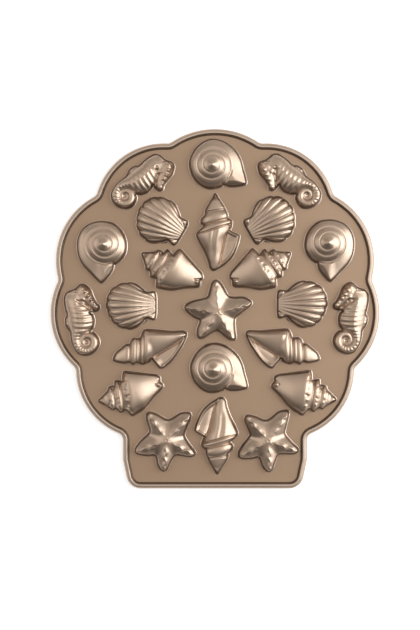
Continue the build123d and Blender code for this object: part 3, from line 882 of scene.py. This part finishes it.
class PanFinish(bpy.types.PropertyGroup):
    """Colours and gloss of the nonstick coat."""

    deck_colour: FloatVectorProperty(
        name="Deck Colour", description="Coat on the deck and rim", subtype="COLOR", size=3, default=(0.47, 0.32, 0.216)
    )
    cup_colour: FloatVectorProperty(
        name="Cup Colour", description="Coat on the cups", subtype="COLOR", size=3, default=(0.565, 0.417, 0.312)
    )
    deck_roughness: FloatProperty(name="Deck Roughness", description="Roughness of the deck's coat", default=0.52)
    cup_roughness: FloatProperty(name="Cup Roughness", description="Roughness of the cups' coat", default=0.36)


class PanStage(bpy.types.PropertyGroup):
    """Camera and light of the studio."""

    camera_height: FloatProperty(
        name="Camera Height", description="Height of the camera over the pan", default=1.6, unit="LENGTH"
    )
    view_height: FloatProperty(
        name="View Height",
        description="Length of floor that the picture shows from top to bottom",
        default=0.5608,
        unit="LENGTH",
    )
    key_power: FloatProperty(name="Key Power", description="Power of the right-hand light in watts", default=13.5)
    fill_power: FloatProperty(name="Fill Power", description="Power of the left-hand light in watts", default=2.2)
    sky: FloatProperty(name="Sky", description="Brightness straight above the pan", default=0.62)


# Weight of the clear coat, and contrast of the flake
COATS = {"deck": (0.25, 0.07), "cup": (0.35, 0.05)}


def coat(part):
    """The coat of the deck and rim, or of the cups, made once."""
    finish = bpy.context.scene.pan_finish
    name, colour, roughness = f"{part}_coat", getattr(finish, f"{part}_colour"), getattr(finish, f"{part}_roughness")
    return bpy.data.materials.get(name) or coated_metal(name, colour, roughness, *COATS[part])


def cast_cups(design):
    """Replaces the nodes of one design with its detailed shells."""
    sizes = bpy.context.scene.pan_sizes
    lengths = (sizes.deck, sizes.wall, sizes.foot, sizes.spacing)
    corners, faces, at_foot = shell(*DESIGNS[design], *(length / MM for length in lengths))
    for node, spot, turn, mirrored in CUPS:
        if not node.startswith(design):
            continue
        name = node.replace("_cup", "_shell")
        mesh = bpy.data.meshes.new(name)
        mesh.from_pydata((placed(corners, spot, turn, mirrored) * MM).tolist(), [], faces.tolist())
        set_painted_light(mesh, at_foot)
        outward(mesh, 0.002 * MM)
        mesh.materials.append(coat("cup"))
        made = added(name, mesh)
        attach(made, "root")
        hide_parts(node)


class PAN_OT_deck(bpy.types.Operator):
    """Coat the flat deck between the cups"""

    bl_idname = "pan.deck"
    bl_label = "Deck"

    def execute(self, context):
        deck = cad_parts["deck"]
        deck.data.materials.clear()
        deck.data.materials.append(coat("deck"))
        return {"FINISHED"}


class PAN_OT_rim(bpy.types.Operator):
    """Sweep the raised rim round the scallop outline"""

    bl_idname = "pan.rim"
    bl_label = "Rim"

    def execute(self, context):
        sizes = context.scene.pan_sizes
        line = tray_line(spacing=1.2)
        count = len(line)
        base = bpy.data.meshes.new("rim_line")
        corners = np.column_stack([line * MM, np.zeros(count)])
        base.from_pydata(corners.tolist(), [(n, (n + 1) % count) for n in range(count)], [])
        tree = sweep_tree(coat("deck"))
        mesh = grown("rim_border", base, tree, Width=sizes.rim_width, Height=sizes.rim_height, Deck=sizes.deck)
        outward(mesh)
        at = np.empty(len(mesh.vertices) * 3)
        mesh.vertices.foreach_get("co", at)
        x, y, z = at.reshape(-1, 3).T / MM
        inside, width, crest = depth_inside(x, y, line), sizes.rim_width / MM, sizes.rim_height / MM - 0.25
        # Painted light on the rim: the whole rim is mixed a little towards pale cream, its crest further as a painted
        # highlight,
        # and its inner wall is darkened as painted shade
        wall = ramp(inside, width - 1.0, width - 0.7) * (z < crest)
        edge = ramp(inside, width - 2.2, width - 1.6) * (z >= crest)
        set_painted_light(mesh, 0.25 + 0.45 * edge - 1.15 * wall)  # painted crest highlight, painted inner-wall shade
        border = added("rim_border", mesh)
        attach(border, "root")
        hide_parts("rim")
        return {"FINISHED"}


class PAN_OT_snails(bpy.types.Operator):
    """Cast the four turban snail cups"""

    bl_idname = "pan.snails"
    bl_label = "Snails"

    def execute(self, context):
        cast_cups("snail")
        return {"FINISHED"}


class PAN_OT_seahorses(bpy.types.Operator):
    """Cast the four seahorse cups"""

    bl_idname = "pan.seahorses"
    bl_label = "Seahorses"

    def execute(self, context):
        cast_cups("seahorse")
        return {"FINISHED"}


class PAN_OT_scallops(bpy.types.Operator):
    """Cast the four scallop cups"""

    bl_idname = "pan.scallops"
    bl_label = "Scallops"

    def execute(self, context):
        cast_cups("scallop")
        return {"FINISHED"}


class PAN_OT_spindles(bpy.types.Operator):
    """Cast the two spindle shell cups"""

    bl_idname = "pan.spindles"
    bl_label = "Spindles"

    def execute(self, context):
        cast_cups("spindle")
        return {"FINISHED"}


class PAN_OT_murexes(bpy.types.Operator):
    """Cast the four murex cups"""

    bl_idname = "pan.murexes"
    bl_label = "Murexes"

    def execute(self, context):
        cast_cups("murex")
        return {"FINISHED"}


class PAN_OT_whelks(bpy.types.Operator):
    """Cast the two whelk cups"""

    bl_idname = "pan.whelks"
    bl_label = "Whelks"

    def execute(self, context):
        cast_cups("whelk")
        return {"FINISHED"}


class PAN_OT_stars(bpy.types.Operator):
    """Cast the three starfish cups"""

    bl_idname = "pan.stars"
    bl_label = "Starfish"

    def execute(self, context):
        cast_cups("star")
        return {"FINISHED"}


class PAN_OT_stage(bpy.types.Operator):
    """Set the camera straight above the pan, a white floor and soft lights from both sides"""

    bl_idname = "pan.stage"
    bl_label = "Stage"

    def execute(self, context):
        scene = context.scene
        stage = scene.pan_stage
        aim = Vector((-0.00445, -0.00556, 0.0))  # where the photograph's middle falls on the pan
        sensor = 36
        camera = added("camera", bpy.data.cameras.new("camera"))
        camera.data.sensor_fit = "VERTICAL"
        camera.data.sensor_height = sensor
        camera.data.lens = sensor * stage.camera_height / stage.view_height
        camera.location = aim + Vector((0, 0, stage.camera_height))
        scene.camera = camera

        reach = 4
        mesh = bpy.data.meshes.new("floor")
        corners = [(-reach, -reach, 0), (reach, -reach, 0), (reach, reach, 0), (-reach, reach, 0)]
        mesh.from_pydata(corners, [], [(0, 1, 2, 3)])
        floor = added("floor", mesh)
        paper = bpy.data.materials.new("floor_paper")
        tree = blank_tree(paper)
        place = add_node(tree, "place", "ShaderNodeTexCoord").outputs["Object"]
        far = add_node(tree, "far", "ShaderNodeVectorMath", {0: place}, operation="LENGTH").outputs["Value"]
        # The lamps do part of the floor's white near the pan, and its glow does all of it farther out
        fade = mapped(tree, "fade", far, (0.5, 1.3), (0.55, 1.0))
        level = maths(tree, "level", "MULTIPLY", seen_rays(tree), fade)
        matte = add_node(tree, "matte", "ShaderNodeBsdfDiffuse", {"Color": (0.8, 0.8, 0.8, 1)}).outputs[0]
        glow = add_node(tree, "glow", "ShaderNodeEmission", {"Strength": level}).outputs[0]
        both = add_node(tree, "both", "ShaderNodeAddShader", {0: matte, 1: glow}).outputs[0]
        add_node(tree, "out", "ShaderNodeOutputMaterial", {"Surface": both})
        mesh.materials.append(paper)

        scene.world = bpy.data.worlds.new("studio")
        tree = blank_tree(scene.world)
        ray = add_node(tree, "place", "ShaderNodeTexCoord").outputs["Generated"]
        up = add_node(tree, "split", "ShaderNodeSeparateXYZ", {0: ray}).outputs["Z"]

        def along(name, direction):
            return add_node(
                tree, name, "ShaderNodeVectorMath", {0: ray, 1: direction}, operation="DOT_PRODUCT"
            ).outputs["Value"]

        # The sky brightens upwards, more so towards +X and +Y, and has a soft patch near its top
        smooth = {"interpolation_type": "SMOOTHSTEP"}
        rise = mapped(tree, "rise", up, (0.15, 1.0), (0.06, stage.sky), **smooth)
        patch = mapped(tree, "patch", along("toward", (0.25, 0.12, 0.96)), (0.90, 1.0), (0.0, 0.18), **smooth)
        leant = maths(tree, "leant", "ADD", rise, along("lean", (0.08, 0.28, 0.0)))
        level = maths(tree, "level", "MAXIMUM", maths(tree, "patched", "ADD", leant, patch), 0.02)
        sky = add_node(tree, "sky", "ShaderNodeBackground", {"Color": (1.0, 0.97, 0.93, 1), "Strength": level})
        white = add_node(tree, "white", "ShaderNodeBackground", {"Color": (1, 1, 1, 1)})
        # A low view looks past the floor's edge, so the sky is white near the horizon
        near_horizon = mapped(tree, "low", up, (0.12, 0.20), (1.0, 0.0))
        share = maths(tree, "share", "MULTIPLY", seen_rays(tree), near_horizon)
        pick = add_node(tree, "pick", "ShaderNodeMixShader", {0: share, 1: sky.outputs[0], 2: white.outputs[0]})
        add_node(tree, "out", "ShaderNodeOutputWorld", {"Surface": pick.outputs[0]})

        for name, power, colour, spot, width, depth in (
            ("key", stage.key_power, (0.89, 0.955, 1.0), (1.02, 0.10, 0.72), 1.0, 1.4),
            ("fill", stage.fill_power, (1.0, 1.0, 1.0), (-0.95, 0.10, 0.85), 0.9, 1.1),
        ):
            light = bpy.data.lights.new(name, "AREA")
            light.shape = "RECTANGLE"
            light.size, light.size_y = width, depth
            light.energy = power
            light.color = colour
            lamp = added(name, light)
            lamp.location = spot
            lamp.rotation_euler = (-Vector(spot)).to_track_quat("-Z", "Y").to_euler()

        scene.view_settings.view_transform = "Standard"
        return {"FINISHED"}


class PAN_PT_panel(bpy.types.Panel):
    bl_label = "Seashell Cake Pan"
    bl_idname = "PAN_PT_panel"
    bl_space_type = "VIEW_3D"
    bl_region_type = "UI"
    bl_category = "Cake Pan"

    def draw(self, context):
        scene = context.scene
        for group in (scene.pan_sizes, scene.pan_finish, scene.pan_stage):
            box = self.layout.box()
            for key in group.__annotations__:
                box.prop(group, key)
        for operator in OPERATORS:
            self.layout.operator(operator.bl_idname)


OPERATORS = (
    PAN_OT_stage,
    PAN_OT_deck,
    PAN_OT_rim,
    PAN_OT_snails,
    PAN_OT_seahorses,
    PAN_OT_scallops,
    PAN_OT_spindles,
    PAN_OT_murexes,
    PAN_OT_whelks,
    PAN_OT_stars,
)
CLASSES = (PanSizes, PanFinish, PanStage, *OPERATORS, PAN_PT_panel)


def register():
    for kind in CLASSES:
        bpy.utils.register_class(kind)
    bpy.types.Scene.pan_sizes = PointerProperty(type=PanSizes)
    bpy.types.Scene.pan_finish = PointerProperty(type=PanFinish)
    bpy.types.Scene.pan_stage = PointerProperty(type=PanStage)


def unregister():
    del bpy.types.Scene.pan_stage
    del bpy.types.Scene.pan_finish
    del bpy.types.Scene.pan_sizes
    for kind in reversed(CLASSES):
        bpy.utils.unregister_class(kind)


def main():
    register()
    for operator in OPERATORS:
        area, name = operator.bl_idname.split(".")
        getattr(getattr(bpy.ops, area), name)()


if __name__ == "__main__":
    main()
